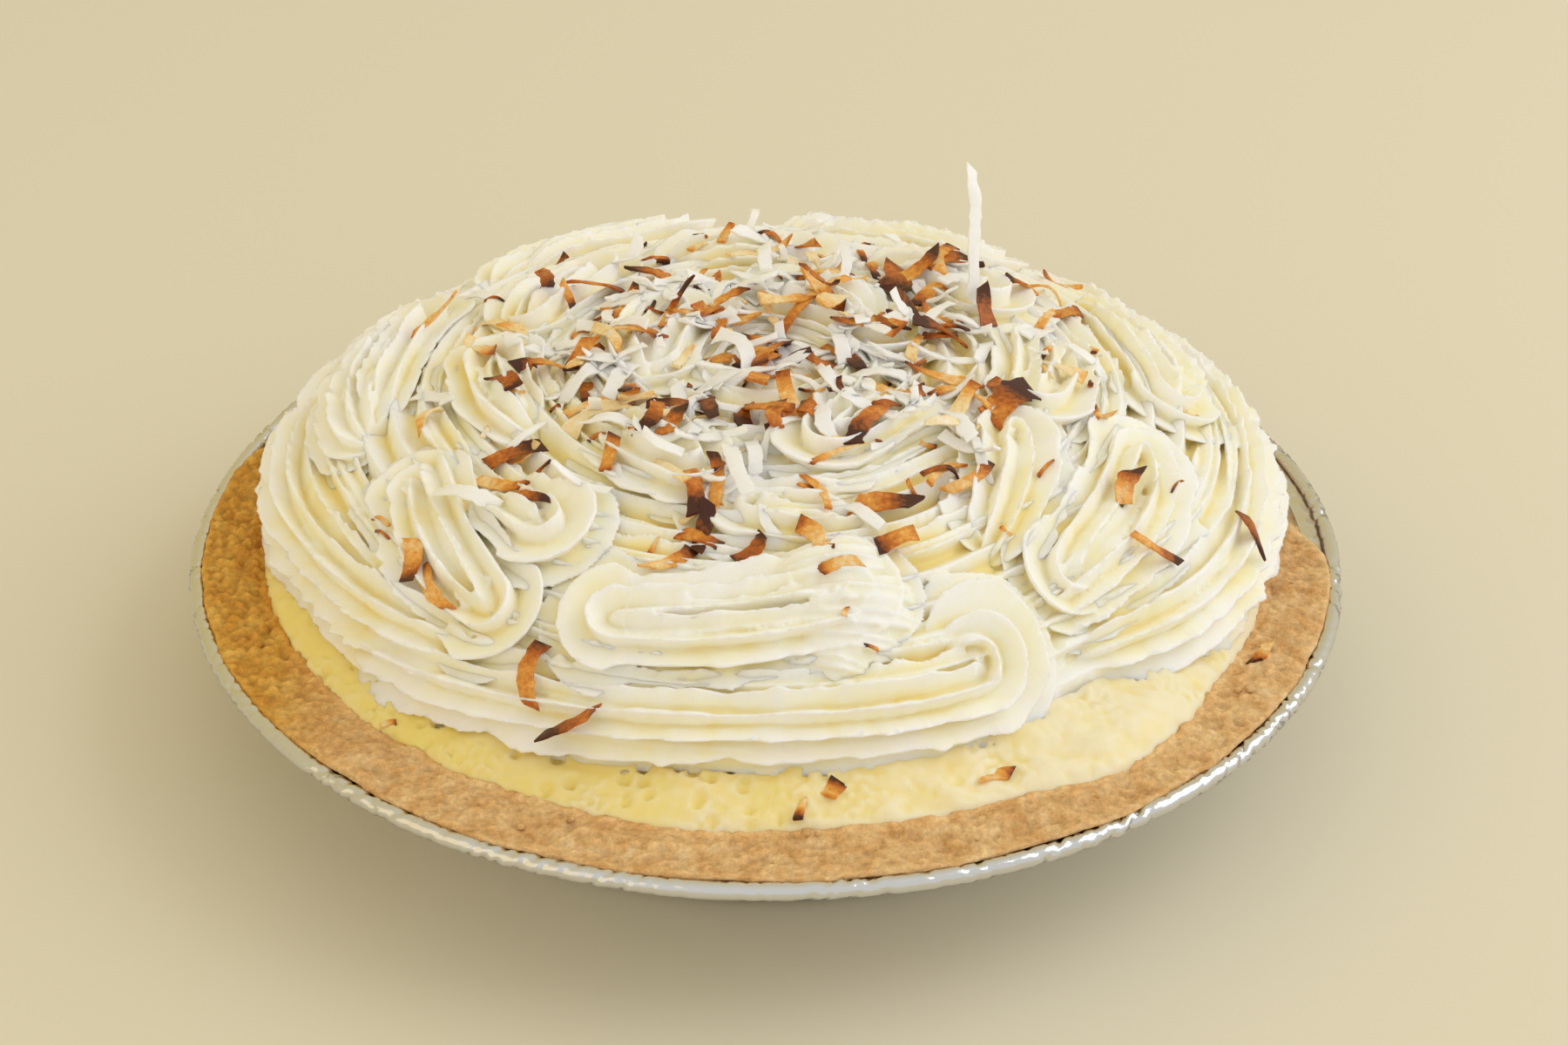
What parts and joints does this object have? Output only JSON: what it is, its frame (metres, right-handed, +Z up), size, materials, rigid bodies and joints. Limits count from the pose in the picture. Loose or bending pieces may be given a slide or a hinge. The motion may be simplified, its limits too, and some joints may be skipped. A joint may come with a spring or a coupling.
{
  "type": "coconut cream pie",
  "caption": "Round cream pie in a shallow foil pan: flat pastry rim, custard showing inside it, and a low dome of fluted piped cream scattered with coconut flakes",
  "frame": {"origin": "middle of the underside of the foil pan's base, on the surface that the pie stands on", "axes": "+Z up, -Y towards the side seen at the front of the picture, +X to its right"},
  "size_m": [0.23, 0.23, 0.0912],
  "materials": {
    "foil": "bright pressed foil, pleated wall and crinkled rolled bead",
    "pastry": "dry baked shortcrust, mottled and slightly flaky",
    "custard": "soft satin set custard with small pits",
    "cream": "soft matte whipped cream with toasted and plain coconut"
  },
  "bodies": {
    "root": {"foil_pan": "foil", "crust": "pastry", "custard": "custard", "whipped_cream": "cream"}
  },
  "joints": []
}
